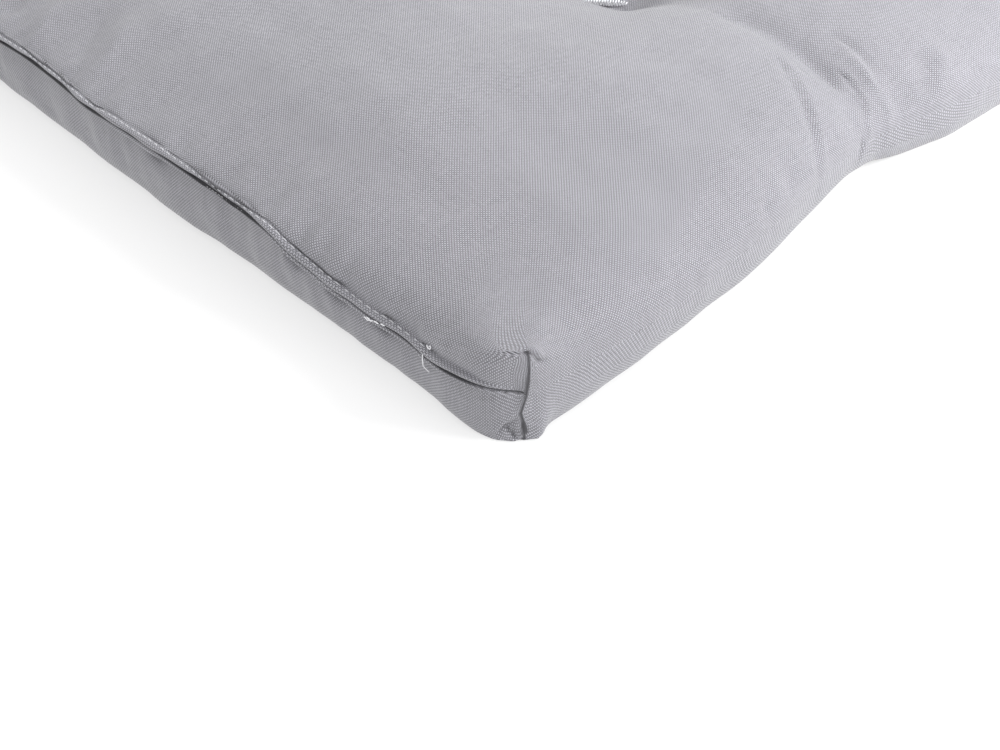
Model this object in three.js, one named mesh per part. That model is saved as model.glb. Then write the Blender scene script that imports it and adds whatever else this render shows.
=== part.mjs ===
// A padded cushion for a sun lounger: one cloth cover, folded over along one long side and sewn
// along the other long side and both ends, filled, and held by two columns of bar tacks.
// It lies on its back. +X runs along its length and +Z is up. The origin is under the middle, on
// the surface that it lies on. All sizes are in millimetres.
import * as THREE from "three";

// Overall size
const LENGTH = 2000;
const WIDTH = 500;
const BOX_HEIGHT = 30; // height of the boxed corners
const CROWN_RISE = 15; // the filled sections rise above the boxed corners by this much

// Bar tacks: rows across the cushion, with one tack in each column
const SECTIONS = 12; // the rows part the length into this many equal sections
const ROW_PITCH = LENGTH / SECTIONS;
const TACK_Y = WIDTH / 4; // from the middle line to each column
const TACK_HALF = 12; // half of a tack, which runs across the cushion
const TACK_TOP_Z = 21; // the upper cloth is drawn down to this height
const TACK_UNDER_Z = 8; // and the lower cloth up to this one
const TACK_SPREAD = 28;
const TACK_UNDER_SPREAD = 13;

// Valleys along each row, from tack to tack and out to the long sides
const VALLEY_DEPTH = 7;
const VALLEY_SPREAD = 24;
const VALLEY_UNDER = 2.5;
const LEAST_LIFT = 0.2; // the lower cloth lies flat where it would lift less than this

// Rolled edges: the cloth turns from top to side, and from side to underside, on superellipses
const ROLL = { width: 26, atCorner: 5, power: 2.4 };
const UNDER_ROLL = { width: 8, atCorner: 2, power: 3 };
const ROLL_EASES_IN = 24; // away from the corners, where the rolls are tighter
const ROLL_DEGREES = [0, 18, 38, 58, 74, 90];
const CROWN_SPREAD = 45;

// Outline
const END_CORNER_INSET = 9; // the ends bulge past the corner seams by this much
const END_CORNER_REACH = 13;
const END_DRAWN_IN = 3.5; // and are drawn in again in the middle
const END_DRAWN_REACH = 60;
const SIDE_CORNER_INSET = 2.5;
const SIDE_CORNER_REACH = 9;
const PINCH_DEPTH = 11; // each row of tacks draws in the long sides by this much
const PINCH_REACH = 45;
const PINCH_FADES_IN = 45; // from the rolled edge towards the middle

// Height of the seams and of the fold, halfway up the boxed corners
const SEAM_Z = BOX_HEIGHT / 2;
const END_SEAM_Z = 23.5; // away from the corners the end seams ride up to this height
const END_SEAM_RISES_AT = 80;
const END_SEAM_RISES_IN = 34;

// Closing seam: two turned-in lips, sewn together, that stand out of a groove in one end
const LIP_DEPTH = 2;
const LIP_RISE = 0.07; // height of a lip as a share of the height above or below the seam
const GROOVE_RISE = 0.1;
const LIP_FROM_CORNER = 31;
const LIP_FADES_IN = 8;

// Grid lines between the rolled edges: distances from a row of tacks, and from the middle line
const ROW_OFFSETS = [0, 10, 30, 60];
const ACROSS_OFFSETS = [50, 90, 112, 125, 138, 160, 190];

const CLOTH = { color: 0xa5a4ab, roughness: 0.75, metalness: 0 };

const { abs, cos, exp, hypot, max, min, pow, sign, sin } = Math;

/** 1 at no distance, falling off as a bell. */
const bell = (distance, spread, power) => exp(-pow(distance / spread, power));

/** Rises smoothly from 0 to 1 around a place. */
const easeAt = (distance, place, width) => 1 / (1 + exp((-4 * (distance - place)) / width));

/** Distance along the length to the nearest row of tacks. */
function toRow(x) {
  const place = (x + LENGTH / 2) / ROW_PITCH;
  const row = min(SECTIONS - 1, max(1, Math.round(place)));
  return abs(place - row) * ROW_PITCH;
}

function toTack(x, y) {
  return hypot(toRow(x), max(0, abs(abs(y) - TACK_Y) - TACK_HALF));
}

/** Half of the width at x: drawn in at the rows of tacks and at the corners. */
function sideReach(x) {
  const pinch = PINCH_DEPTH * bell(toRow(x), PINCH_REACH, 1.6);
  const corner = SIDE_CORNER_INSET * bell(LENGTH / 2 - abs(x), SIDE_CORNER_REACH, 1);
  return WIDTH / 2 - pinch - corner;
}

/** Half of the length at a distance from the corner. */
function endReach(fromCorner) {
  const corner = END_CORNER_INSET * bell(fromCorner, END_CORNER_REACH, 1);
  const middle = END_DRAWN_IN * bell(WIDTH / 2 - fromCorner, END_DRAWN_REACH, 2);
  return LENGTH / 2 - corner - middle;
}

function rollWidth(roll, fromCorner) {
  return roll.width - (roll.width - roll.atCorner) * bell(fromCorner, ROLL_EASES_IN, 1);
}

/** Inset of a rolled edge at an angle, as a share of its width. */
function rollInset(roll, angle) {
  return 1 - pow(max(0, cos(angle)), 2 / roll.power);
}

/** Rise of a rolled edge at an angle, as a share of the height above or below the seam. */
function rollRise(roll, angle) {
  return pow(sin(angle), 2 / roll.power);
}

/** Height of the line where the upper and the lower cloth meet. */
function seamHeight(x, y) {
  const ride = easeAt(WIDTH / 2 - abs(y), END_SEAM_RISES_AT, END_SEAM_RISES_IN);
  return SEAM_Z + (END_SEAM_Z - SEAM_Z) * ride * bell(LENGTH / 2 - abs(x), ROLL.width, 2);
}

function topHeight(x, y) {
  const fromEnd = 1 - bell(max(0, LENGTH / 2 - abs(x)), CROWN_SPREAD, 1.5);
  const fromSide = 1 - bell(max(0, WIDTH / 2 - abs(y)), CROWN_SPREAD, 1.5);
  const tackDepth = BOX_HEIGHT + CROWN_RISE - TACK_TOP_Z;
  const tack = tackDepth / (1 + pow(toTack(x, y) / TACK_SPREAD, 1.6));
  const valley = VALLEY_DEPTH * bell(toRow(x), VALLEY_SPREAD, 1.2);
  return BOX_HEIGHT + CROWN_RISE * fromEnd * fromSide - Math.cbrt(pow(tack, 3) + pow(valley, 3));
}

/** Height of the lower cloth: flat where it lies, drawn up at the tacks. */
function underHeight(x, y) {
  const tack = TACK_UNDER_Z * bell(toTack(x, y), TACK_UNDER_SPREAD, 2);
  const valley = VALLEY_UNDER * bell(toRow(x), TACK_UNDER_SPREAD, 2);
  const lift = max(tack, valley);
  return lift > LEAST_LIFT ? lift : 0;
}

/** The lesser of two rises, eased where two rolled edges meet in a mitre. */
function mitre(a, b) {
  const least = min(a, b);
  const width = least * least * (1 - least);
  const overlap = max(0, width - abs(a - b));
  return width > 0 ? least - (overlap * overlap) / (4 * width) : least;
}

/** Grid lines of a rolled edge, from the seam inwards. */
function edgeLines(side) {
  return ROLL_DEGREES.map((degrees) => ({ side, angle: (degrees * Math.PI) / 180, behindLip: 0 }));
}

/** The same with the lips of the closing seam. They have a height share of their own. */
function lipLines(side) {
  const [edge, ...others] = edgeLines(side);
  const lip = { ...edge, share: LIP_RISE, behindLip: LIP_DEPTH / 6 };
  const groove = { ...edge, share: GROOVE_RISE, behindLip: LIP_DEPTH };
  return [edge, lip, groove, ...others];
}

const innerLines = (places) => places.map((at) => ({ side: 0, at, angle: Math.PI / 2 }));

/** Grid lines from one long side to the other. */
function acrossLines() {
  const places = [...ACROSS_OFFSETS.map((offset) => -offset).reverse(), 0, ...ACROSS_OFFSETS];
  return [...edgeLines(-1), ...innerLines(places), ...edgeLines(1).reverse()];
}

/** Grid lines from one end to the other. */
function alongLines() {
  const places = [];
  for (let row = 0; row <= SECTIONS; row++) {
    const middle = row * ROW_PITCH - LENGTH / 2;
    for (const offset of ROW_OFFSETS) {
      places.push(middle + offset);
      if (offset > 0) places.push(middle - offset);
    }
  }
  const inner = places.filter((x) => abs(x) < LENGTH / 2 - ROLL.width - 3).sort((a, b) => a - b);
  return [...lipLines(-1), ...innerLines(inner), ...edgeLines(1).reverse()];
}

/** Place of the point where two grid lines cross, on the upper or on the lower cloth. */
function gridPoint(along, across, under) {
  const roll = under ? UNDER_ROLL : ROLL;
  const fromEnd = along.side ? ROLL.width * rollInset(ROLL, along.angle) : LENGTH / 2 - abs(along.at);
  const fromSide = across.side ? ROLL.width * rollInset(ROLL, across.angle) : WIDTH / 2 - abs(across.at);
  const reach = sideReach(along.side ? LENGTH / 2 - fromEnd : along.at);
  const drawnIn = (WIDTH / 2 - reach) * bell(max(0, fromSide - ROLL.width), PINCH_FADES_IN, 1.5);
  const sideInset = rollInset(roll, across.angle) * rollWidth(roll, fromEnd);
  const endInset = rollInset(roll, along.angle) * rollWidth(roll, fromSide);
  const lip = along.behindLip * easeAt(fromSide, LIP_FROM_CORNER, LIP_FADES_IN);
  const y = across.side ? across.side * (reach - sideInset) : across.at - sign(across.at) * drawnIn;
  const x = along.side ? along.side * (endReach(fromSide) - endInset - lip) : along.at;
  const seam = seamHeight(x, y);
  const edge = under ? underHeight(x, y) : topHeight(x, y);
  const rise = mitre(along.share ?? rollRise(roll, along.angle), rollRise(roll, across.angle));
  return [x, y, seam + (edge - seam) * rise];
}

/** Two triangles, parted along the diagonal that a mitre follows. */
function addQuad(indices, [a, b, c, d], alongFirst) {
  if (alongFirst) indices.push(a, b, c, a, c, d);
  else indices.push(a, b, d, b, c, d);
}

/** The cover as one closed surface: an upper and a lower grid that share the line all round. */
function coverGeometry() {
  const along = alongLines();
  const across = acrossLines();
  const positions = [];
  const addPoint = (point) => positions.push(...point) / 3 - 1;
  const isOutside = (i, j) => i === 0 || j === 0 || i === along.length - 1 || j === across.length - 1;
  const upper = along.map((lineA) => across.map((lineB) => addPoint(gridPoint(lineA, lineB, false))));
  const lower = along.map((lineA, i) =>
    across.map((lineB, j) => (isOutside(i, j) ? upper[i][j] : addPoint(gridPoint(lineA, lineB, true)))),
  );
  const indices = [];
  for (let i = 0; i + 1 < along.length; i++) {
    for (let j = 0; j + 1 < across.length; j++) {
      const alike = i < along.length / 2 === j < across.length / 2;
      const quad = (grid) => [grid[i][j], grid[i + 1][j], grid[i + 1][j + 1], grid[i][j + 1]];
      addQuad(indices, quad(upper), alike);
      addQuad(indices, quad(lower).reverse(), !alike);
    }
  }
  const geometry = new THREE.BufferGeometry();
  geometry.setAttribute("position", new THREE.Float32BufferAttribute(positions, 3));
  geometry.setIndex(indices);
  geometry.computeVertexNormals();
  return geometry;
}

function makeCushion() {
  const cushion = new THREE.Mesh(coverGeometry(), new THREE.MeshStandardMaterial(CLOTH));
  cushion.name = "cushion";
  return cushion;
}

const lounger = new THREE.Group();
lounger.name = "sun_lounger_cushion";
lounger.add(makeCushion());

export default lounger;
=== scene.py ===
"""Looks of a padded sun lounger cushion: its cloth, seams, stitches, tacks, lights and camera."""
import math

import bpy
import numpy as np
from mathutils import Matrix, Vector


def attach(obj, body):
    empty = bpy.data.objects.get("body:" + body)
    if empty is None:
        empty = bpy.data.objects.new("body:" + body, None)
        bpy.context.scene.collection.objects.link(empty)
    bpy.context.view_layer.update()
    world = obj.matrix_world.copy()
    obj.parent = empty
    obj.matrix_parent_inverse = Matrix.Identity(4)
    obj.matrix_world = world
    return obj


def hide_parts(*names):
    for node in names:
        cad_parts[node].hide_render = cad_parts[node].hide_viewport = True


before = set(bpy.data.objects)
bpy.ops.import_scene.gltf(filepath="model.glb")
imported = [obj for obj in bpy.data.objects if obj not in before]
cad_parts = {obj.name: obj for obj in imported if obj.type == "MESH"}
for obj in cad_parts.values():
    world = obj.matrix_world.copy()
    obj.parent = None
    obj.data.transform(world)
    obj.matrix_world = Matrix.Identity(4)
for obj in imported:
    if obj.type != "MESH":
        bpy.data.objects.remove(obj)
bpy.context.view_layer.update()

# Sizes are in millimetres, as in the part. METRE turns them into Blender's unit at the end.
METRE = 0.001
LENGTH = 2000.0
WIDTH = 500.0
BOX_HEIGHT = 30.0
CROWN_RISE = 15.0

# Bar tacks, in rows across the cushion, and the valleys along the rows
SECTIONS = 12
ROW_PITCH = LENGTH / SECTIONS
TACK_Y = WIDTH / 4
TACK_HALF = 12.0
TACK_TOP_Z = 21.0
TACK_UNDER_Z = 8.0
TACK_SPREAD = 28.0
TACK_UNDER_SPREAD = 13.0
VALLEY_DEPTH = 7.0
VALLEY_SPREAD = 24.0
VALLEY_UNDER = 2.5

# Rolled edges, tighter at the boxed corners and round the underside
ROLL_WIDTH = 26.0
ROLL_AT_CORNER = 2.5
UNDER_ROLL_WIDTH = 8.0
UNDER_ROLL_AT_CORNER = 2.0
ROLL_EASES_IN = 24.0
ROLL_EASE_POWER = 2.0
UNDER_ROLL_EASES_IN = 46.0
UNDER_ROLL_EASE_POWER = 1.0
ROLL_POWER = 2.4
UNDER_ROLL_POWER = 3.0
CROWN_SPREAD = 45.0

# Outline
END_CORNER_INSET = 8.0
END_CORNER_REACH = 5.2
# Bulges and hollows of the filled ends: distance from the corner, reach and depth
END_BULGES = ((15, 13, 1.2), (41, 12, -0.9), (61, 7, -0.5), (95, 14, 0.6), (182, 12, 1.1), (240, 14, 0.8))
END_DRAWN_IN = 3.5
END_DRAWN_REACH = 60.0
SIDE_CORNER_INSET = 3.5
SIDE_CORNER_REACH = 9.0
EAR = 2.3  # the lower cloth stands out as a small ear beside the corner
EAR_AT = 5.5
EAR_REACH = 3.6
PINCH_DEPTH = 10.5
PINCH_REACH = 45.0
PINCH_SKEW = 5.0  # the pinch reaches further towards the closing seam by this much
PINCH_STRAYS = 5.0  # a pinch lies at most this far from its row of tacks
PINCH_IN_VIEW = -8.0  # and the one in view this far

# Height of the seams
CORNER_SEAM_Z = 15.3
SEAM_Z = 15.9
SEAM_EASES_IN = 8.0  # the seams leave the corner's height this near the corner
SEAM_HUMP = 1.9  # the closing seam bows up between the corner and its lips
SEAM_HUMP_AT = 15.0
SEAM_HUMP_REACH = 9.0
END_SEAM_Z = 24.0
END_SEAM_RISES_AT = 78.0
END_SEAM_RISES_IN = 30.0

# Plain seams, at the corners and beside the lips: narrow grooves in a softly drawn-in band
PLAIN_SEAM_DEPTH = 0.5
PLAIN_SEAM_HEIGHT = 0.25
PLAIN_SEAM_SHADE_HEIGHT = 0.12  # the painted shade of the gap in the groove is this narrow
DRAWN_IN_DEPTH = 1.0
DRAWN_IN_HEIGHT = 5.0
GROOVE_FADES_IN = 1.2  # the grooves run out this near a corner
CORNER_SEAM_WIDTH = 0.25
CORNER_SEAM_DEPTH = 0.35
CORNER_SEAM_TOP = 28.5  # the painted shade in the gap of a corner's seam ends at this height
CORNER_SEAM_ENDS_IN = 2.0
# A corner's seam sways: height, and how far it lies towards the long side there
CORNER_SWAY = ((0.0, 0.3), (5.4, 0.0), (9.9, -1.0), (14.6, 0.4), (20.0, 1.0), (28.4, 1.5))
SWAY_REACH = 5.0

# Closing seam
LIP_FROM_CORNER = 31.0
LIP_FADES_IN = 6.0
BEHIND_LIP = 1.4  # the cloth is drawn in behind the lips by this much
BEHIND_LIP_ANGLE = math.radians(38)  # and this far up the rolled edge
# Half of the profile, from the slit between the lips outwards: depth behind the lips' edge, height
# above the slit and how dark the painted shade in the slit and behind the lip is, for an upper lip
LIP_PROFILE = (
    (2.2, 0.0, 1.0),
    (1.0, 0.2, 1.0),
    (0.4, 0.42, 0.95),
    (0.08, 0.68, 0.1),
    (0.0, 1.05, 0.0),
    (0.35, 1.4, 0.0),
    (1.0, 1.5, 0.0),
    (1.6, 1.55, 0.2),
    (1.9, 1.7, 0.3),
    (1.95, 1.9, 0.2),
)
LIP_BACK = 1.0  # the profile's points that are deeper and higher than this lie behind the lip
UPPER_LIP_SHADE = 0.2  # the painted shade behind the upper lip is lighter than the painted shadow under the lower lip
SIDE_SEAM_LINES = (0, 1, 4)  # the points of the profile that the whole sewn long side has
STITCH_LINE = 6  # the point of the profile that the topstitch runs on
SLIT_STRAY = 0.22  # the slit wanders up and down by about this much, in uneven waves
SLIT_WAVE = 9.0
SLIT_SLOW_WAVE = 23.0
SLIT_UNEVEN = 1.5
SLIT_DIP = -0.9  # and dips once
SLIT_DIP_AT = 84.0
SLIT_DIP_REACH = 6.0
# Puckers behind the upper lip: distance along the closed end from the visible corner, and depth
PUCKERS = (
    (37, 0.8), (41, 1.1), (52, 1.2), (58, 0.7), (63, 1.0), (82, 0.4), (98, 0.5),
    (118, 0.9), (139, 0.7), (164, 0.9), (179, 0.8), (196, 0.8), (227, 1.0),
)
PUCKER_REACH = 2.6
PUCKER_HEIGHT = 2.2
PUCKER_ABOVE_SEAM = 4.2
PUCKER_FROM_END = 14.0

# Unevenness of the filled cloth: how deep its ripples are and about how long their waves
BROAD_DEPTH = 0.35
BROAD_WAVE = 55.0
FINE_DEPTH = 0.12
FINE_WAVE = 17.0
RIPPLE_WAVES = 9  # so many waves are summed in a ripple
RIPPLE_RANGE = (0.75, 1.35)  # their lengths, as shares of the one asked for
# Gathers start this far from an end seam and from a long side, each with the width of the ease,
# and run out this far in from the end
SHORT_GATHERS = {"seam": (4, 3), "side": (16, 10), "end": 14, "wave": 9.5}
LONG_GATHERS = {"seam": (6, 6), "side": (40, 30), "end": 40, "wave": 24}
GATHER_DEPTH = 0.3
SHORT_GATHER_HEIGHT = 10.0
LONG_GATHER_SLANT = 0.35
FAN_DEPTH = 0.8
FAN_SHARE_IN_VIEW = 0.15  # creases take the place of most of the fan that is in view
FAN_INWARDS = 30.0
FAN_SIDEWAYS = 26.0
FAN_CENTRE = 12.0  # a fan spreads from this far outside the long side
FAN_FOLDS = 9
FAN_WAVE = 4.5
FAN_APART = (4.0, 50.0)  # this keeps the waves of one fan apart from those of the next ones
STAR_DEPTH = 0.5
STAR_REACH = 30.0
STAR_STARTS = (4, 8)  # this far past a tack's ends, with the width of the ease
STAR_FOLDS = 7
STAR_TURN = 2.1
FACES_UP = -0.2  # cloth whose normals point further down than this has no long gathers or puckers
RESTING_HEIGHT = 2.5  # the cloth that the cushion lies on is flat up to about this height
RESTING_TILT = 0.3

# Shape of a crease. Its reaches are in halves of its width.
CREASE_REACH = 4.0
CREASE_POWER = 1.3
BANK_AT = 1.6
BANK_RUNS_OUT = 3.0
# CREASE_SHADE is the reach of the painted shade along the bottom of a crease
CREASE_SHADE = 0.6
CREASE_FADES_IN = 0.3  # share of its length in which a crease fades at each of its ends

# Topstitches of the closing seam
STITCH_PITCH = 3.0
STITCH_LENGTH = 2.1
STITCH_LENGTHS = (0.7, 1.1)  # shortest and longest, as shares
STITCH_STRAY = 0.15
STITCH_RADIUS = 0.16
STITCH_ARCH = 1.7  # height of a stitch's arch, in radii
STITCH_SINKS = 0.9  # and how deep its ends lie in the cloth
STITCH_POINTS = 7

# Thread wrapped round each bar tack
THREAD_RADIUS = 0.24
WRAPS = 26
WRAP_POINTS = 8
WRAP_HALF_WIDTH = 1.2
WRAP_HEIGHT = 0.8
WRAP_LIFT = 0.2
WRAP_UNEVEN = (0.8, 1.2)
WRAP_AT_TIP = 0.05  # the wraps narrow to the root of this share at a tack's ends
TACK_TURN = 10.0  # a tack is turned by at most so many degrees
TACK_IN_VIEW = (math.radians(42), -5.5, -3.2)  # turn and shift of the one in view
RAY_FROM_ABOVE = 80.0
RAY_FROM_BELOW = -20.0

# Threads: the darkest and the lightest tone of each kind
WHITE_THREAD = ((0.6, 0.6, 0.63, 1), (0.88, 0.88, 0.9, 1))
GREY_THREAD = ((0.4, 0.4, 0.42, 1), (0.62, 0.62, 0.65, 1))
FIBRE_SCALE = 2500
LOOSE_RADIUS = 0.17
THREAD_TIP = 0.45  # radius of a thread's ends, as a share of its own
ASIDE = (0.31, 0.17, 0.94)  # a direction that no thread runs in, to set out its round section from

# Weave: spacing of the threads, and how far and how slowly they wander from straight lines
THREAD_SPACING = 0.5
WANDER = 3.0
WANDER_SCALE = 0.02
SLUB_SCALE = 0.8
SLUB_STRETCH = 0.08  # the pattern of thicker places is drawn out along the threads
PATCH_SCALE = 0.006
# What each layer of the pattern adds to the cloth's tone, and what is taken off the sum
WEAVE_TONE = 0.92
OVER_TONE = 0.5
SLUB_TONE = 0.3
PATCH_TONE = 0.1
TONE_SHIFT = 0.69
CLOTH_DARK = (0.024, 0.023, 0.028, 1)
CLOTH_LIGHT = (0.383, 0.38, 0.415, 1)
RELIEF = 0.0001  # in metres, for weave and thread

# Studio, in metres
FLOOR_SIZE = 14
FLOOR_Z = -0.0003
FLOOR_GLOW = 0.6
WORLD_GLOW = 1.17
# Lights: name, place and aim from the visible corner, size, power and spread in degrees
LIGHTS = (
    ("key", (1.16, -3.93, 1.85), (0, 0, 0), 3.0, 60, 180),
    ("rim", (3.98, 0.94, 1.87), (0, 0, 0), 2.4, 28, 180),
    ("side", (0.44, -0.5, 0.45), (0.24, 0.06, 0.03), 0.3, 0.98, 60),
)

# The visible corner, and where the camera is from it, in millimetres
CORNER = np.array([-LENGTH / 2 + 9, -WIDTH / 2 + 2.5, 0.0])
CAMERA_FROM_CORNER = np.array([-198.1, -188.0, 263.8])
TARGET_FROM_CORNER = np.array([0.4, 11.2, 15.0])
LENS = 54.0
SENSOR = 36.0

# Spacing of the surface's grid: fine near the visible corner, coarser elsewhere. The runs of lines
# that follow the roll of the closed end say from where, how far and at what step.
NEAR_RUNS = ((0.8, 14, 0.8), (14, 104, 2.1), (104, 163, 0.9), (163, 210, 2.4))
NEAR_SEAM_STEP = 1.1
FOOT_REACH = 9.0  # up the closed end, the lines are closer together this near the folded side's roll
FOOT_SHARES = (2 / 3, 1 / 3)
NEAR_SIDE = 75.0  # the finest lines also run along the cushion this near its folded side
WHOLE_EVERY = 8  # every eighth line there goes all round the cushion
UPPER_EVERY = 4  # and every fourth one over all of the upper cloth
NEAR_EVERY = 2
FAR_STEP_LONG = 8.0
FAR_STEP_WIDE = 6.0
ROLL_ANGLES = np.linspace(15, 90, 15)
SETTLING_STEPS = 8  # the rolls of two edges depend on each other's width near a corner
SPREAD_FADES_AT = 80.0  # lines further than this from an edge don't follow its roll and its pinches

random = np.random.default_rng(7)
PINCH_STRAY = random.uniform(-PINCH_STRAYS, PINCH_STRAYS, (2, SECTIONS + 1))
PINCH_STRAY[0, 1] = PINCH_IN_VIEW


def bell(distance, spread, power):
    """1 at no distance or less, falling off as a bell."""
    return np.exp(-((np.maximum(distance, 0) / spread) ** power))


def ease_at(distance, place, width):
    """Rises smoothly from 0 to 1 around a place."""
    return 1 / (1 + np.exp(np.clip(-4 * (distance - place) / width, -60, 60)))


def nearest_row(x):
    return np.clip(np.round((x + LENGTH / 2) / ROW_PITCH), 1, SECTIONS - 1)


def from_row(x):
    return x + LENGTH / 2 - nearest_row(x) * ROW_PITCH


def to_tack(x, y):
    return np.hypot(from_row(x), np.maximum(0, np.abs(np.abs(y) - TACK_Y) - TACK_HALF))


def side_reach(x, side):
    """Half of the width at x, on the side with y below (-1) or above (1) the middle line."""
    stray = PINCH_STRAY[(side > 0).astype(int), nearest_row(x).astype(int)]
    from_pinch = from_row(x) - stray
    reach = PINCH_REACH - PINCH_SKEW * np.sign(from_pinch)
    pinch = PINCH_DEPTH * bell(np.abs(from_pinch), reach, 1.6)
    corner = SIDE_CORNER_INSET * bell(LENGTH / 2 - np.abs(x), SIDE_CORNER_REACH, 1)
    return WIDTH / 2 - pinch - corner


def end_reach(from_corner):
    corner = END_CORNER_INSET * bell(from_corner, END_CORNER_REACH, 1.3)
    bulge = sum(depth * bell(np.abs(from_corner - at), reach, 2) for at, reach, depth in END_BULGES)
    middle = END_DRAWN_IN * bell(WIDTH / 2 - from_corner, END_DRAWN_REACH, 2)
    return LENGTH / 2 - corner + bulge - middle


def roll_width(from_corner, under):
    upper = (ROLL_WIDTH, ROLL_AT_CORNER, ROLL_EASES_IN, ROLL_EASE_POWER)
    lower = (UNDER_ROLL_WIDTH, UNDER_ROLL_AT_CORNER, UNDER_ROLL_EASES_IN, UNDER_ROLL_EASE_POWER)
    wide, tight, eases_in, power = lower if under else upper
    return wide - (wide - tight) * bell(from_corner, eases_in, power)


def roll_share(angle, under):
    """Inset and rise of a rolled edge at an angle, as shares of its width and height."""
    power = 2 / (UNDER_ROLL_POWER if under else ROLL_POWER)
    return 1 - np.clip(np.cos(angle), 0, 1) ** power, np.sin(angle) ** power


def slit_stray(y):
    """How far the slit between the lips wanders up or down."""
    wave = np.sin(y / SLIT_WAVE + SLIT_UNEVEN * np.sin(y / SLIT_SLOW_WAVE))
    dip = bell(np.abs(y + WIDTH / 2 - SLIT_DIP_AT), SLIT_DIP_REACH, 2)
    return SLIT_STRAY * wave + SLIT_DIP * dip


def seam_height(x, y):
    """Height of the line where the upper and the lower cloth meet."""
    from_side = WIDTH / 2 - np.abs(y)
    rise = (END_SEAM_Z - SEAM_Z) * ease_at(from_side, END_SEAM_RISES_AT, END_SEAM_RISES_IN)
    rise = rise + (SEAM_Z - CORNER_SEAM_Z) * ease_at(from_side, SEAM_EASES_IN, SEAM_EASES_IN)
    rise = rise + SEAM_HUMP * bell(np.abs(from_side - SEAM_HUMP_AT), SEAM_HUMP_REACH, 2)
    rise = rise + slit_stray(y) * ease_at(from_side, LIP_FROM_CORNER, LIP_FADES_IN)
    return CORNER_SEAM_Z + rise * bell(LENGTH / 2 - np.abs(x), ROLL_WIDTH, 2)


def top_height(x, y):
    from_end = 1 - bell(LENGTH / 2 - np.abs(x), CROWN_SPREAD, 1.5)
    from_side = 1 - bell(WIDTH / 2 - np.abs(y), CROWN_SPREAD, 1.5)
    tack_depth = BOX_HEIGHT + CROWN_RISE - TACK_TOP_Z
    tack = tack_depth / (1 + (to_tack(x, y) / TACK_SPREAD) ** 1.6)
    valley = VALLEY_DEPTH * bell(np.abs(from_row(x)), VALLEY_SPREAD, 1.2)
    return BOX_HEIGHT + CROWN_RISE * from_end * from_side - np.cbrt(tack**3 + valley**3)


def under_height(x, y):
    tack = TACK_UNDER_Z * bell(to_tack(x, y), TACK_UNDER_SPREAD, 2)
    valley = VALLEY_UNDER * bell(np.abs(from_row(x)), TACK_UNDER_SPREAD, 2)
    return np.maximum(tack, valley)


def mitre(a, b):
    """The lesser of two rises, eased where two rolled edges meet in a mitre."""
    least = np.minimum(a, b)
    width = np.maximum(least * least * (1 - least), 1e-9)
    overlap = np.maximum(0, width - np.abs(a - b))
    return least - overlap**2 / (4 * width)


def run_of_places(start, stop, step):
    return list(np.linspace(start, stop, max(2, round((stop - start) / step) + 1)))


def spread_fade(nominal):
    """1 at a rolled edge, falling to 0 where the outline no longer moves the grid lines."""
    return np.clip((SPREAD_FADES_AT - nominal) / (SPREAD_FADES_AT - ROLL_WIDTH), 0, 1)


def spread_in(nominal, width):
    """Distances from an edge, spread so that the first inner line meets the end of the roll."""
    return nominal + (width - ROLL_WIDTH) * spread_fade(nominal)


def nominal_places(lines, half):
    """Distance from the edge before the outline is bent, side, and how far the line is bent."""
    on_roll = ROLL_WIDTH * roll_share(lines["angle"], False)[0]
    distance = np.where(lines["side"] != 0, on_roll, half - np.abs(lines["at"]))
    side = np.where(lines["side"] != 0, lines["side"], np.sign(lines["at"]))
    return distance, side, np.where(lines["side"] != 0, 1, spread_fade(distance))


def groove(height):
    """How deep a plain seam draws in the cloth at a height above or below it."""
    sharp = PLAIN_SEAM_DEPTH * bell(height, PLAIN_SEAM_HEIGHT, 1.5)
    return sharp + DRAWN_IN_DEPTH * bell(height, DRAWN_IN_HEIGHT, 2)


def seam_depth(lines, rise, from_corner):
    """The same for the lines of an edge. Near a corner the seam's groove runs out."""
    height = np.where(lines["height"] >= 0, lines["height"], BOX_HEIGHT / 2 * rise)
    return groove(height) * (1 - bell(from_corner, GROOVE_FADES_IN, 2))


def seam_shade(height):
    """How dark the painted shade in a plain seam's gap is at a height above or below it. Other lines have
    no height.
    """
    return np.where(height >= 0, bell(height, PLAIN_SEAM_SHADE_HEIGHT, 2), 0)


def closing_shade(lines, lips, under):
    """How dark the painted shade in the gaps of the seam at an end is, where its lips are full (1) or run
    out (0).
    """
    behind_upper_lip = (lines["depth"] > LIP_BACK) & (lines["height"] > LIP_BACK) & (not under)
    lip_shade = lines["shade"] * np.where(behind_upper_lip, UPPER_LIP_SHADE, 1)
    return seam_shade(lines["height"]) * (1 - lips) + lips * lip_shade


def grid_line(side, kind, at=0.0, angle=90.0, depth=0.0, height=-1.0, shade=0.0):
    """A line of the surface's grid: on a rolled edge or a lip (side is -1 or 1), or between them."""
    return {
        "side": side,
        "kind": kind,
        "at": at,
        "angle": math.radians(angle),
        "depth": depth,
        "height": height,
        "shade": shade,
    }


def edge_lines(side, kind, has_lips):
    """Lines of one rolled edge, from its seam inwards. All four edges have the same heights."""
    is_long_side = kind == "all"
    whole_length = SIDE_SEAM_LINES if is_long_side and side > 0 else (0,)
    lines = []
    for place, (depth, height, shade) in enumerate(LIP_PROFILE):
        line_kind = kind if place in whole_length else "edge"
        lines.append(
            grid_line(side, line_kind, angle=0, depth=depth * has_lips, height=height, shade=shade)
        )
    for place, angle in enumerate(ROLL_ANGLES):
        upper_only = is_long_side and place % 2 == 0
        lines.append(grid_line(side, "up" if upper_only else kind, angle=angle))
    return lines


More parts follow.
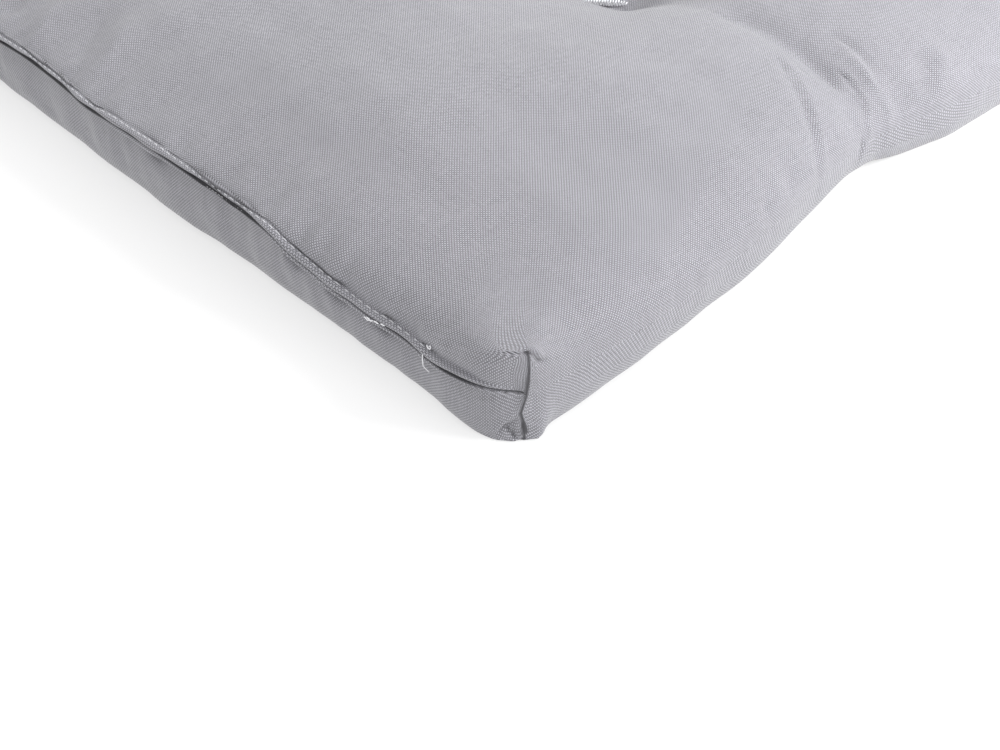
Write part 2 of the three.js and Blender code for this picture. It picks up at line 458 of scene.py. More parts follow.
def along_lines():
    """Lines across the cushion, from the end with the closing seam to the far end."""
    end_of_roll = -LENGTH / 2 + ROLL_WIDTH
    lines = edge_lines(-1, "edge", True)
    for start, stop, step in NEAR_RUNS:
        places = run_of_places(end_of_roll + start, end_of_roll + stop, step)[:-1]
        lines += [grid_line(0, "near", at=x) for x in places]
    split = end_of_roll + NEAR_RUNS[-1][1]
    lines += [grid_line(0, "far", at=x) for x in run_of_places(split, -end_of_roll, FAR_STEP_LONG)[:-1]]
    lines += [dict(line, kind="end") for line in reversed(edge_lines(1, "end", False))]
    return lines


def near_kind(count, y):
    """Kind of a line between the folded long side and the middle, by its number from that side."""
    if count % WHOLE_EVERY == 0:
        return "all"
    if count % UPPER_EVERY == 0:
        return "up"
    if count % NEAR_EVERY == 0 or y < -WIDTH / 2 + NEAR_SIDE:
        return "near"
    return "seam"


def across_lines():
    """Lines along the cushion, from the folded long side to the sewn one."""
    lines = edge_lines(-1, "all", False)
    first = -WIDTH / 2 + ROLL_WIDTH + NEAR_SEAM_STEP
    for count, y in enumerate(run_of_places(first, 0, NEAR_SEAM_STEP)):
        if y < first + FOOT_REACH:
            lines += [grid_line(0, "seam", at=y - share * NEAR_SEAM_STEP) for share in FOOT_SHARES]
        lines.append(grid_line(0, near_kind(count, y), at=y))
    last = WIDTH / 2 - ROLL_WIDTH
    for count, y in enumerate(run_of_places(0, last, FAR_STEP_WIDE)[1:-1]):
        lines.append(grid_line(0, "all" if count % 2 else "up", at=y))
    return lines + list(reversed(edge_lines(1, "all", False)))


# Which lines along the cushion a line across it meets, by its kind
MEETS = {
    "edge": {"all", "up", "near", "seam", "edge"},
    "near": {"all", "up", "near"},
    "far": {"all", "up"},
    "end": {"all", "up", "edge"},
}


def settled_insets(a, b, from_end, from_side, under):
    """Distances in plan from the plain outline, with rolls that tighten towards the corners."""
    inset_a = roll_share(a["angle"], under)[0]
    inset_b = roll_share(b["angle"], under)[0]
    in_x, in_y = 0.0, 0.0
    for _ in range(SETTLING_STEPS):
        roll_x = roll_width(in_y, under)
        roll_y = roll_width(in_x, under)
        in_x = np.where(a["side"] != 0, inset_a * roll_x, spread_in(from_end, roll_x))
        in_y = np.where(b["side"] != 0, inset_b * roll_y, spread_in(from_side, roll_y))
    return in_x, in_y


def cloth_grid(a, b, under):
    """Places of the crossings of the grid lines across (a) and along (b) the upper or the lower
    cloth, each with the painted shade of seam gaps there and how close by the seam of a corner is."""
    from_end, end, fade_x = nominal_places(a, LENGTH / 2)
    from_side, half, fade_y = nominal_places(b, WIDTH / 2)
    in_x, in_y = settled_insets(a, b, from_end, from_side, under)
    rise_a = roll_share(a["angle"], under)[1]
    rise_b = roll_share(b["angle"], under)[1]
    lips = ease_at(from_side, LIP_FROM_CORNER, LIP_FADES_IN) * (end < 0)
    behind = BEHIND_LIP * bell(a["angle"], BEHIND_LIP_ANGLE, 1.5) * (a["height"] < 0)
    end_seam = (1 - lips) * seam_depth(a, rise_a, in_y) + lips * (a["depth"] + behind)
    side_seam = seam_depth(b, rise_b, in_x) * (half > 0)
    ear = under * rise_b * EAR * bell(np.abs(in_x - EAR_AT), EAR_REACH, 2)
    reach_x = end_reach(in_y) - end_seam
    reach_y = side_reach(end * (LENGTH / 2 - in_x), half) - side_seam + ear
    x = end * (LENGTH / 2 - in_x - (LENGTH / 2 - reach_x) * fade_x)
    y = half * (WIDTH / 2 - in_y - (WIDTH / 2 - reach_y) * fade_y)
    seam = seam_height(x, y)
    edge = under_height(x, y) if under else top_height(x, y)
    tall = np.abs(edge - seam)
    share_a = np.where(a["height"] >= 0, a["height"] / tall, rise_a)
    share_b = np.where(b["height"] >= 0, b["height"] / tall, rise_b)
    z = seam + (edge - seam) * mitre(share_a, share_b)
    on_both = (a["side"] != 0) & (b["side"] != 0)
    corner_seam = on_both * bell(np.abs(in_x - in_y), CORNER_SEAM_WIDTH, 2)
    # Painted shade: darkens the gaps of the end seams, the sewn side's seam and the corners' seams
    shade = np.maximum(closing_shade(a, lips, under), seam_shade(b["height"]) * (half > 0))
    shade = np.maximum(shade, corner_seam * ease_at(-z, -CORNER_SEAM_TOP, CORNER_SEAM_ENDS_IN))
    x = x - end * corner_seam * CORNER_SEAM_DEPTH
    y = y - half * corner_seam * CORNER_SEAM_DEPTH
    return np.stack([x, y, z, shade, corner_seam], axis=-1)


def surface_grids(along, across):
    """The grids of the upper and of the lower cloth."""
    keys = ("side", "at", "angle", "depth", "height", "shade")
    a = {key: np.array([line[key] for line in along])[:, None] for key in keys}
    b = {key: np.array([line[key] for line in across])[None, :] for key in keys}
    return cloth_grid(a, b, False), cloth_grid(a, b, True)


def weave_place(grid):
    """Where each point lies on the flat cloth, so that the weave runs with the threads. That is its
    plain place where the cloth is nearly flat. Beyond, it is the way along the cloth from there."""
    places = []
    for axis, half in ((0, LENGTH / 2), (1, WIDTH / 2)):
        steps = np.linalg.norm(np.diff(grid, axis=axis), axis=-1)
        start = np.zeros_like(np.take(steps, [0], axis=axis))
        arc = np.concatenate([start, np.cumsum(steps, axis=axis)], axis=axis)
        plain = grid[..., axis]
        middle = np.take(plain, plain.shape[1 - axis] // 2, axis=1 - axis)
        inner = np.nonzero(np.abs(middle) < half - CROWN_SPREAD)[0]
        place = plain.copy()
        for edge, outer in ((inner[0], slice(0, inner[0])), (inner[-1], slice(inner[-1] + 1, None))):
            beyond = (outer, slice(None)) if axis == 0 else (slice(None), outer)
            at_edge = (slice(edge, edge + 1), slice(None))
            if axis == 1:
                at_edge = at_edge[::-1]
            place[beyond] = plain[at_edge] + arc[beyond] - arc[at_edge]
        places.append(place)
    return np.stack(places, axis=-1)


class Cover:
    """The points and faces of the closed surface, and its rows of points by grid line."""

    def __init__(self):
        self.points = []
        self.shade = []
        self.corner_seam = []
        self.cloth = []
        self.faces = []
        self.upper = []
        self.lower = []

    def add(self, point, place):
        self.points.append(point[:3])
        self.shade.append(point[3])
        self.corner_seam.append(point[4])
        self.cloth.append(place)
        return len(self.points) - 1

    def bridge(self, row_a, row_b, upward, mitred):
        """Faces between two neighbouring rows, which need not have all their points in common."""
        shared = sorted(set(row_a) & set(row_b))
        for start, stop in zip(shared, shared[1:]):
            there = [row_b[key] for key in range(start, stop + 1) if key in row_b]
            back = [row_a[key] for key in range(stop, start - 1, -1) if key in row_a]
            face = there + back
            faces = [face]
            if len(face) == 4 and start in mitred:
                a, b, c, d = face
                faces = [[d, a, b], [d, b, c]] if mitred[start] else [[a, b, c], [a, c, d]]
            self.faces += faces if upward else [each[::-1] for each in faces]


def build_cover():
    along = along_lines()
    across = across_lines()
    upper, lower = surface_grids(along, across)
    upper_cloth = weave_place(upper[..., :3])
    lower_cloth = weave_place(lower[..., :3])
    cover = Cover()
    last_i, last_j = len(along) - 1, len(across) - 1
    for i, line in enumerate(along):
        row_up = {}
        row_down = {}
        for j, other in enumerate(across):
            if other["kind"] not in MEETS[line["kind"]]:
                continue
            row_up[j] = cover.add(upper[i, j], upper_cloth[i, j])
            if i in (0, last_i) or j in (0, last_j):
                row_down[j] = row_up[j]
            elif line["kind"] in ("edge", "end") or other["kind"] == "all":
                row_down[j] = cover.add(lower[i, j], lower_cloth[i, j])
        cover.upper.append(row_up)
        cover.lower.append(row_down)
    for i in range(last_i):
        steps = min(i, last_i - 1 - i)
        rising = i == steps
        mitred = {steps: rising, last_j - 1 - steps: not rising}
        cover.bridge(cover.upper[i], cover.upper[i + 1], True, mitred)
        cover.bridge(cover.lower[i], cover.lower[i + 1], False, mitred)
    return cover


# Creases of the cloth near the visible corner. Points are (x, y, z) from the outermost corner of
# the outline. Depth is below the cloth (negative stands up), width is half of a crease's width,
# bank is how high the cloth stands up beside it, on the left along the crease, and shade is how
# dark the painted shade in the narrowest gap at its bottom is.
def crease(*points, depth, width, bank=0.0, shade=0.0):
    return {"points": points, "depth": depth, "width": width, "bank": bank, "shade": shade}


CREASES = (
    # the valley from the first tack to the pinched side
    crease((161, 76, 34), (169, 66, 32.1), (169.7, 52.4, 30.9), (168.5, 37.9, 29.5), (166, 26.3, 27.3),
           (165.2, 22.6, 26), depth=2.2, width=4.0),
    # folds that fan out of the pinch
    crease((171, 28.6, 30.1), (171.1, 26.5, 28.5), (170.1, 21.4, 25.1), (168.9, 17.9, 22.6),
           (165.6, 14.4, 20.3), (160.9, 10.6, 15.3), (160, 11, 10),
           depth=1.3, width=0.9, bank=0.8, shade=0.6),
    crease((160, 45, 33.2), (156.9, 41.1, 32.8), (150.2, 30.1, 30.5), (145.6, 22.7, 28.8),
           (142.6, 18.4, 26.9), (138.2, 13, 22.7), (135.5, 10, 19.7), (136.5, 8.4, 11.3),
           depth=1.3, width=1.6, bank=0.5, shade=0.1),
    crease((179, 33.5, 30.5), (177.5, 25.5, 28.7), (175.1, 19.2, 27.4), (177.1, 16.3, 24.3),
           depth=-1.5, width=1.5),
    crease((181.7, 40.5, 33.3), (181.9, 32.9, 32), (180.6, 25.9, 29.4), (179.1, 21.8, 27.2),
           depth=0.9, width=1.2, shade=0.1),
    crease((173, 36, 31.5), (170, 29, 30.3), (167.2, 24.3, 27.6), (165.6, 21.7, 25.5),
           depth=-1.2, width=1.2),
    crease((186.2, 22, 29.4), (179.7, 16.1, 24), (173.3, 10.7, 18.5), (174.1, 9.3, 8.7),
           depth=-0.9, width=1.0),
    crease((184.5, 19, 28), (181.5, 15.5, 25), (179.1, 13.8, 23.5), (177, 11, 20),
           depth=1.2, width=1.2, shade=0.2),
    crease((188.8, 13.3, 24.9), (184.1, 12.5, 23.7), (178.6, 9.9, 20.1), (178, 9, 14),
           depth=1.0, width=3.0),
    # softer folds to either side
    crease((200, 18, 30), (194, 11, 26), (188.5, 8, 20), depth=1.2, width=4.0),
    crease((209, 18, 31), (198, 9, 24), (190, 5.4, 14), depth=-1.2, width=4.5),
    crease((114, 11, 26), (108, 7, 23.5), (103, 5, 20), depth=0.8, width=2.6),
    crease((126, 11, 25), (121, 8.5, 23), (117, 7, 20), depth=0.7, width=2.6),
    # wrinkles that run up from the closing seam at the left
    crease((36, 203, 37), (18, 192, 32), (5, 187, 27), depth=-1.3, width=4.5),
    crease((34, 216, 37), (18, 205, 32), (6, 199, 27), depth=1.2, width=5.0),
    crease((26, 232, 35), (12, 224, 30), (5, 221, 27), depth=-1.0, width=4.5),
    crease((20, 247, 33), (9, 241, 29), depth=1.2, width=4.0),
    # a dart, a pucker and a soft ridge at the top of the corner's seam
    crease((8.2, 4.3, 29.0), (9.0, 4.0, 28.6), (10.3, 3.2, 27.5), (11.6, 2.6, 25.4), (12.9, 2.2, 24.6),
           (15.6, 2.3, 24.6), depth=0.9, width=0.8, bank=0.4, shade=0.8),
    crease((8.0, 4.6, 29.3), (8.9, 4.1, 28.6), (9.7, 3.8, 27.8), depth=0.8, width=0.6, shade=0.9),
    crease((2.7, 9.4, 27.1), (4.2, 7.7, 27.6), (5.9, 6.1, 28.3), (8.3, 4.1, 28.6),
           depth=-0.4, width=1.4),
    # pleats at the foot of the corner
    crease((2.5, 8.5, 0.8), (2.9, 7.8, 2.3), (4.0, 6.7, 4.6), (5.0, 5.3, 6.1), (6.2, 4.4, 7.2),
           (7.2, 4.1, 8.0), depth=0.9, width=0.8, bank=0.5, shade=0.4),
    crease((4.1, 7.1, 5.4), (4.4, 6.6, 4.5), (4.7, 6.0, 3.6), (5.4, 5.6, 2.3), (6.0, 5.1, 0.7),
           (6.4, 4.8, 0.0), depth=0.8, width=0.7, bank=0.3, shade=0.7),
    crease((5.1, 5.2, 6.6), (5.3, 5.1, 5.6), (6.0, 5.2, 3.5), (6.6, 4.5, 2.1), (7.0, 4.2, 1.0),
           depth=0.4, width=1.5, shade=0.3),
    crease((7.5, 4.0, 6.8), (7.9, 3.9, 5.2), (8.2, 3.6, 3.6), (8.5, 3.2, 2.3), (8.8, 3.0, 1.4),
           depth=0.6, width=0.6, shade=0.8),
)


def crease_points(points, per_span=20):
    """A smooth curve through the points of a crease, as closely spaced points."""
    knots = np.array(points, dtype=float)
    padded = np.vstack([2 * knots[0] - knots[1], knots, 2 * knots[-1] - knots[-2]])
    curve = []
    for p0, p1, p2, p3 in zip(padded, padded[1:], padded[2:], padded[3:]):
        for t in np.linspace(0, 1, per_span, endpoint=False):
            curve.append(
                0.5 * (2 * p1 + (p2 - p0) * t + (2 * p0 - 5 * p1 + 4 * p2 - p3) * t**2
                       + (3 * p1 - p0 - 3 * p2 + p3) * t**3)
            )
    curve.append(knots[-1])
    return np.array(curve)


def add_crease(offset, shade, places, normals, line):
    """Adds one crease to the offsets and to the painted shade of the points that lie near it."""
    curve = crease_points(line["points"])
    width = line["width"]
    reach = CREASE_REACH * width
    inside = (places > curve.min(0) - reach) & (places < curve.max(0) + reach)
    near = np.nonzero(np.all(inside, axis=1))[0]
    away = places[near][:, None, :] - curve[None, :, :]
    gaps = np.linalg.norm(away, axis=2)
    closest = gaps.argmin(axis=1)
    gap = gaps[np.arange(len(near)), closest]
    along = closest / (len(curve) - 1)
    fade = np.clip(np.minimum(along, 1 - along) / CREASE_FADES_IN, 0, 1)
    fade = fade * fade * (3 - 2 * fade)
    heading = np.gradient(curve, axis=0)[closest]
    left = np.cross(normals[near], heading)
    left /= np.linalg.norm(left, axis=1)[:, None]
    sideways = np.einsum("ij,ij->i", left, away[np.arange(len(near)), closest])
    dip = line["depth"] * np.exp(-((gap / width) ** CREASE_POWER))
    from_bank = (sideways - BANK_AT * width) / width
    bank = line["bank"] * np.exp(-(from_bank**2) - (gap / (BANK_RUNS_OUT * width)) ** 4)
    offset[near] += fade * (bank - dip)
    shade[near] += fade * line["shade"] * np.exp(-((gap / (CREASE_SHADE * width)) ** 2))


def ripples(places, wavelength, seed):
    """Smooth noise with a standard deviation of about 1, as a sum of waves in seeded directions."""
    chance = np.random.default_rng(seed)
    total = np.zeros(len(places))
    for _ in range(RIPPLE_WAVES):
        heading = chance.normal(size=places.shape[1])
        heading /= np.linalg.norm(heading)
        wave = 2 * math.pi / (wavelength * chance.uniform(*RIPPLE_RANGE))
        total += np.cos(places @ heading * wave + chance.uniform(0, 2 * math.pi))
    return total * math.sqrt(2 / RIPPLE_WAVES)


def from_edges(places):
    """Distances of points from the nearer end and from the nearer long side."""
    x, y = places[:, 0] + LENGTH / 2, places[:, 1] + WIDTH / 2
    return np.minimum(x, LENGTH - x), np.minimum(y, WIDTH - y)


def above_seam(places):
    return places[:, 2] - seam_height(places[:, 0], places[:, 1])


def gather_share(kind, lift, from_end, from_side):
    """1 where one kind of gathers is full, falling to 0 where it runs out."""
    starts = ease_at(lift, *kind["seam"]) * ease_at(from_side, *kind["side"])
    return starts * bell(from_end, kind["end"], 2)


def gathers(places, normals):
    """Gathers that run from the end seams up the cloth: short ones, and long slanted ones."""
    x, y = places[:, 0] + LENGTH / 2, places[:, 1] + WIDTH / 2
    from_end, from_side = from_edges(places)
    lift = np.abs(above_seam(places))
    short = gather_share(SHORT_GATHERS, lift, from_end, from_side)
    short *= bell(lift, SHORT_GATHER_HEIGHT, 1.5) * ripples(y[:, None], SHORT_GATHERS["wave"], 3)
    long = gather_share(LONG_GATHERS, lift, from_end, from_side)
    slanted = y + LONG_GATHER_SLANT * x
    long *= (normals[:, 2] > FACES_UP) * ripples(slanted[:, None], LONG_GATHERS["wave"], 4)
    return GATHER_DEPTH * (short + long)


def fans(places):
    """Folds that fan out of the pinched sides."""
    row, along = nearest_row(places[:, 0]), from_row(places[:, 0])
    from_side = from_edges(places)[1]
    far_side = places[:, 1] > 0
    turn = np.arctan2(along, from_side + FAN_CENTRE) * FAN_FOLDS
    own_place = row * FAN_APART[0] + far_side * FAN_APART[1]
    folds = ripples(np.stack([turn, own_place], axis=1), FAN_WAVE, 5)
    in_view = (row == 1) & (places[:, 1] < 0)
    depth = FAN_DEPTH * np.where(in_view, FAN_SHARE_IN_VIEW, 1.0)
    return depth * bell(from_side, FAN_INWARDS, 1.5) * bell(np.abs(along), FAN_SIDEWAYS, 2) * folds


def stars(places, normals):
    """Short folds round the tacks, on top."""
    beyond_tack = np.abs(np.abs(places[:, 1]) - TACK_Y) - TACK_HALF
    angle = np.arctan2(from_row(places[:, 0]), beyond_tack)
    folds = np.cos(angle * STAR_FOLDS + nearest_row(places[:, 0]) * STAR_TURN)
    near = bell(to_tack(places[:, 0], places[:, 1]), STAR_REACH, 1.6) * (normals[:, 2] > 0)
    return STAR_DEPTH * near * folds * ease_at(np.abs(beyond_tack), *STAR_STARTS)


def puckers(places, normals):
    """Small puckers behind the upper lip, which draw the cloth in."""
    x, y = places[:, 0] + LENGTH / 2, places[:, 1] + WIDTH / 2
    above = bell(np.abs(above_seam(places) - PUCKER_ABOVE_SEAM), PUCKER_HEIGHT, 2)
    behind_lip = above * bell(x, PUCKER_FROM_END, 2) * (normals[:, 2] > FACES_UP)
    return behind_lip * sum(depth * bell(np.abs(y - at), PUCKER_REACH, 2) for at, depth in PUCKERS)


def cloth_offsets(places, normals, shade):
    """How far each point of the cloth stands out along its normal, beyond the plain filled shape.
    The creases add to the painted shade."""
    from_corner = places + np.array([LENGTH / 2, WIDTH / 2, 0])
    offset = BROAD_DEPTH * ripples(places, BROAD_WAVE, 1) + FINE_DEPTH * ripples(places, FINE_WAVE, 2)
    offset += gathers(places, normals) + fans(places) + stars(places, normals)
    offset -= puckers(places, normals)
    for line in CREASES:
        add_crease(offset, shade, from_corner, normals, line)
    faces_down = bell(np.abs(normals[:, 2] + 1), RESTING_TILT, 2)
    return offset * (1 - bell(places[:, 2], RESTING_HEIGHT, 2) * faces_down)


def mesh_object(name, points, faces):
    mesh = bpy.data.meshes.new(name)
    mesh.from_pydata((np.array(points) * METRE).tolist(), [], faces)
    mesh.validate()
    mesh.polygons.foreach_set("use_smooth", [True] * len(mesh.polygons))
    mesh.update()
    piece = bpy.data.objects.new(name, mesh)
    bpy.context.scene.collection.objects.link(piece)
    return piece


def read_vectors(items, name):
    values = np.empty(3 * len(items), dtype=np.float32)
    items.foreach_get(name, values)
    return values.reshape(-1, 3).astype(float)


def from_corner_seams(places):
    """Distance in plan from the nearest of the four seams that run up the corners."""
    x = LENGTH / 2 - END_CORNER_INSET - np.abs(places[:, 0])
    y = WIDTH / 2 - SIDE_CORNER_INSET - np.abs(places[:, 1])
    return np.hypot(x, y)


def sway(places):
    """Moves the corner seams from side to side."""
    heights, shifts = zip(*CORNER_SWAY)
    shift = np.interp(places[:, 2], heights, shifts) * bell(from_corner_seams(places), SWAY_REACH, 2)
    swayed = places.copy()
    swayed[:, 0] -= np.sign(places[:, 0]) * shift * math.sqrt(0.5)
    swayed[:, 1] += np.sign(places[:, 1]) * shift * math.sqrt(0.5)
    return swayed


def make_cushion(cover):
    cushion = mesh_object("cushion_cover", cover.points, cover.faces)
    mesh = cushion.data
    places = read_vectors(mesh.vertices, "co") / METRE
    normals = read_vectors(mesh.vertex_normals, "vector")
    places = sway(places)
    shade = np.array(cover.shade)
    offsets = cloth_offsets(places, normals, shade)
    offsets *= 1 - np.array(cover.corner_seam)
    places += normals * offsets[:, None]
    places[:, 2] = np.maximum(places[:, 2], 0)
    mesh.vertices.foreach_set("co", (places * METRE).ravel())
    mesh.update()
    corners = np.empty(len(mesh.loops), dtype=np.int32)
    mesh.loops.foreach_get("vertex_index", corners)
    # Painted shade: the gap attribute darkens the cloth in seam gaps, under the lips and along crease
    # bottoms
    gaps = mesh.attributes.new("gap", "FLOAT", "POINT")
    gaps.data.foreach_set("value", np.clip(shade, 0, 1).astype(np.float32))
    cloth = np.array(cover.cloth) * METRE
    layer = mesh.uv_layers.new(name="cloth")
    layer.data.foreach_set("uv", cloth[corners].astype(np.float32).ravel())
    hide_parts("cushion")
    return cushion


def tube(path, radius, sides=6):
    """Points and faces of a closed round thread along a path."""
    path = np.array(path, dtype=float)
    heading = np.gradient(path, axis=0)
    heading /= np.linalg.norm(heading, axis=1)[:, None]
    aside = np.cross(heading, ASIDE)
    aside /= np.linalg.norm(aside, axis=1)[:, None]
    up = np.cross(aside, heading)
    taper = np.ones(len(path))
    taper[[0, -1]] = THREAD_TIP
    points = []
    for centre, a, b, thick in zip(path, aside, up, taper):
        for step in range(sides):
            turn = 2 * math.pi * step / sides
            points.append(centre + radius * thick * (math.cos(turn) * a + math.sin(turn) * b))
    faces = []
    for ring in range(len(path) - 1):
        for step in range(sides):
            here, there = ring * sides, (ring + 1) * sides
            following = (step + 1) % sides
            faces.append((here + step, here + following, there + following, there + step))
    faces.append(tuple(reversed(range(sides))))
    faces.append(tuple(range((len(path) - 1) * sides, len(path) * sides)))
    return points, faces


def merge(shapes):
    points, faces = [], []
    for more_points, more_faces in shapes:
        start = len(points)
        points += list(more_points)
        faces += [tuple(start + index for index in face) for face in more_faces]
    return points, faces


def seam_path(cushion, row):
    """Places and normals of the points of one row of the cover, in order across the cushion."""
    mesh = cushion.data
    order = [row[key] for key in sorted(row)]
    places = read_vectors(mesh.vertices, "co")[order] / METRE
    normals = read_vectors(mesh.vertex_normals, "vector")[order]
    return places, normals


def stitches_on(places, normals, seed):
    """A run of stitches along a path on the cloth. Their ends sink into it."""
    chance = np.random.default_rng(seed)
    from_corner = WIDTH / 2 - np.abs(places[:, 1])
    kept = from_corner > LIP_FROM_CORNER
    places, normals = places[kept], normals[kept]
    arc = np.concatenate([[0], np.cumsum(np.linalg.norm(np.diff(places, axis=0), axis=1))])
    shapes = []
    for start in np.arange(1, arc[-1] - STITCH_LENGTH, STITCH_PITCH):
        length = STITCH_LENGTH * chance.uniform(*STITCH_LENGTHS)
        share = np.linspace(0, 1, STITCH_POINTS)
        at = start + chance.uniform(-STITCH_STRAY, STITCH_STRAY) + share * length
        centre = np.stack([np.interp(at, arc, places[:, k]) for k in range(3)], axis=1)
        outward = np.stack([np.interp(at, arc, normals[:, k]) for k in range(3)], axis=1)
        lift = STITCH_RADIUS * (STITCH_ARCH * np.sin(math.pi * share) - STITCH_SINKS)
        shapes.append(tube(centre + outward * lift[:, None], STITCH_RADIUS))
    return merge(shapes)


def make_stitches(cushion, cover):
    shapes = []
    for seed, rows in enumerate((cover.upper, cover.lower)):
        shapes.append(stitches_on(*seam_path(cushion, rows[STITCH_LINE]), seed))
    return mesh_object("closing_stitches", *merge(shapes))


def wrap(centre, seed, twist, facing):
    """A bar tack: thread wrapped closely round a short bar, standing on the cloth."""
    chance = np.random.default_rng(seed)
    share = np.linspace(0, 1, WRAPS * WRAP_POINTS + 1)
    turn = 2 * math.pi * WRAPS * share
    swell = np.sqrt(np.clip(1 - (2 * share - 1) ** 6, WRAP_AT_TIP, 1))
    wobble = np.interp(share, np.linspace(0, 1, WRAPS), chance.uniform(*WRAP_UNEVEN, WRAPS))
    along = (2 * share - 1) * TACK_HALF
    aside = WRAP_HALF_WIDTH * swell * wobble * np.cos(turn)
    up = facing * (WRAP_HEIGHT * swell * wobble * np.sin(turn) + WRAP_LIFT)
    c, s = math.cos(twist), math.sin(twist)
    path = np.stack([aside * c - along * s, aside * s + along * c, up], axis=1)
    return tube(path + centre, THREAD_RADIUS, sides=5)


def make_tacks(cushion):
    """Bar tacks on top, and their other faces underneath, each where a ray meets the cloth."""
    chance = np.random.default_rng(11)
    depsgraph = bpy.context.evaluated_depsgraph_get()
    shapes = []
    for row in range(1, SECTIONS):
        for column in (-1, 1):
            twist = math.radians(chance.uniform(-TACK_TURN, TACK_TURN))
            shift_x, shift_y = 0, 0
            if row == 1 and column == -1:
                twist, shift_x, shift_y = TACK_IN_VIEW
            x = row * ROW_PITCH - LENGTH / 2 + shift_x
            for facing, start in ((1, RAY_FROM_ABOVE), (-1, RAY_FROM_BELOW)):
                origin = Vector((x, column * TACK_Y + shift_y, start)) * METRE
                place = cushion.ray_cast(origin, Vector((0, 0, -facing)), depsgraph=depsgraph)[1]
                shapes.append(wrap(np.array(place) / METRE, row, twist, facing))
    return mesh_object("bar_tacks", *merge(shapes))


# Bits of loose thread at the end of the closing seam: distance in from the closed end, distance
# along it from the corner, and height
LOOSE_THREADS = (
    ((-0.3, 54.2, 15.9), (-0.6, 53.4, 16.4), (-0.5, 52.6, 15.9), (-0.7, 51.9, 16.3)),
    ((-0.4, 52.9, 16.6), (-0.7, 52.1, 16.9), (-0.6, 51.2, 16.5), (-0.4, 50.4, 16.9)),
    ((-0.3, 50.2, 16.8), (-0.6, 49.3, 17.3), (-0.3, 48.4, 16.9)),
    ((-0.1, 47.8, 17.2), (-0.3, 47.0, 17.5), (0.0, 46.3, 17.3)),
    ((0.6, 30.9, 19.8), (0.3, 30.3, 19.5), (0.5, 29.7, 19.2), (0.9, 29.9, 19.8), (0.6, 30.5, 19.3)),
    ((-0.4, 31.6, 17.0), (-0.5, 31.5, 14.5), (-0.2, 31.6, 12.8), (0.6, 31.2, 11.2), (0.8, 30.6, 10.8)),
)


def make_loose_threads():
    corner = np.array([-LENGTH / 2, -WIDTH / 2, 0])
    shapes = []
    for points in LOOSE_THREADS:
        shapes.append(tube(crease_points(points, 6) + corner, LOOSE_RADIUS))
    return mesh_object("loose_threads", *merge(shapes))


class Graph:
    """Short names for the nodes of one material."""

    def __init__(self, name):
        self.material = bpy.data.materials.new(name)
        self.material.use_nodes = True
        self.nodes = self.material.node_tree.nodes
        self.links = self.material.node_tree.links
        self.shader = self.nodes["Principled BSDF"]

    def put(self, value, socket):
        if isinstance(value, bpy.types.NodeSocket):
            self.links.new(value, socket)
        else:
            socket.default_value = value

    def math(self, operation, a, b=0.0, c=0.0):
        node = self.nodes.new("ShaderNodeMath")
        node.operation = operation
        for socket, value in zip(node.inputs, (a, b, c)):
            self.put(value, socket)
        return node.outputs[0]

    def noise(self, vector, scale, detail=2.0, roughness=0.5):
        node = self.nodes.new("ShaderNodeTexNoise")
        self.put(vector, node.inputs["Vector"])
        node.inputs["Scale"].default_value = scale
        node.inputs["Detail"].default_value = detail
        node.inputs["Roughness"].default_value = roughness
        return node.outputs["Fac"]

    def vector(self, x, y, z=0.0):
        node = self.nodes.new("ShaderNodeCombineXYZ")
        for socket, value in zip(node.inputs, (x, y, z)):
            self.put(value, socket)
        return node.outputs[0]

    def ramp(self, factor, dark, light):
        node = self.nodes.new("ShaderNodeValToRGB")
        self.put(factor, node.inputs[0])
        node.color_ramp.elements[0].color = dark
        node.color_ramp.elements[1].color = light
        return node.outputs["Color"]

    def bump(self, height, strength, distance, normal=None):
        node = self.nodes.new("ShaderNodeBump")
        self.put(height, node.inputs["Height"])
        node.inputs["Strength"].default_value = strength
        node.inputs["Distance"].default_value = distance
        if normal is not None:
            self.put(normal, node.inputs["Normal"])
        return node.outputs["Normal"]


def thread_places(g):
    """Numbers of the threads across and along the cushion at each place, with a slow wander."""
    places = g.nodes.new("ShaderNodeUVMap")
    places.uv_map = "cloth"
    split = g.nodes.new("ShaderNodeSeparateXYZ")
    g.put(places.outputs[0], split.inputs[0])
    u = g.math("MULTIPLY", split.outputs[0], 1 / (METRE * THREAD_SPACING))
    v = g.math("MULTIPLY", split.outputs[1], 1 / (METRE * THREAD_SPACING))
    wander = g.noise(g.vector(u, v), WANDER_SCALE)
    return g.math("MULTIPLY_ADD", wander, WANDER, u), g.math("MULTIPLY_ADD", wander, WANDER, v)


